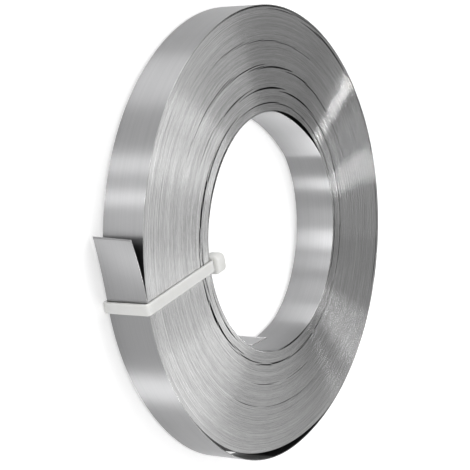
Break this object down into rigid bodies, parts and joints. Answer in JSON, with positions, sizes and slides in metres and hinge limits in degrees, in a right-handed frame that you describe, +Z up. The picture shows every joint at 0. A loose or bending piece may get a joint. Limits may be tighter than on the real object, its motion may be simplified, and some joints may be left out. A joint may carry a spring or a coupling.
{
  "type": "steel strip coil",
  "caption": "Flat ring-shaped coil of narrow bright steel strip, lying on its end, with both strip ends free and one cable tie looped round the turns.",
  "frame": {"origin": "centre of the coil on its axis, half way across the strip", "axes": "+Z up along the coil's axis, towards the end that shows the tie's head; +X and +Y in the plane of the coil, with the strip's free outer end at -X and the sagging outer turn at -Y"},
  "size_m": [0.1562, 0.1521, 0.0191],
  "materials": {
    "steel_strip": "bright cold-rolled, satin along the strip",
    "nylon_tie": "natural white nylon, slightly translucent"
  },
  "bodies": {
    "root": {"strip_coil": "steel_strip", "cable_tie": "nylon_tie"}
  },
  "joints": []
}
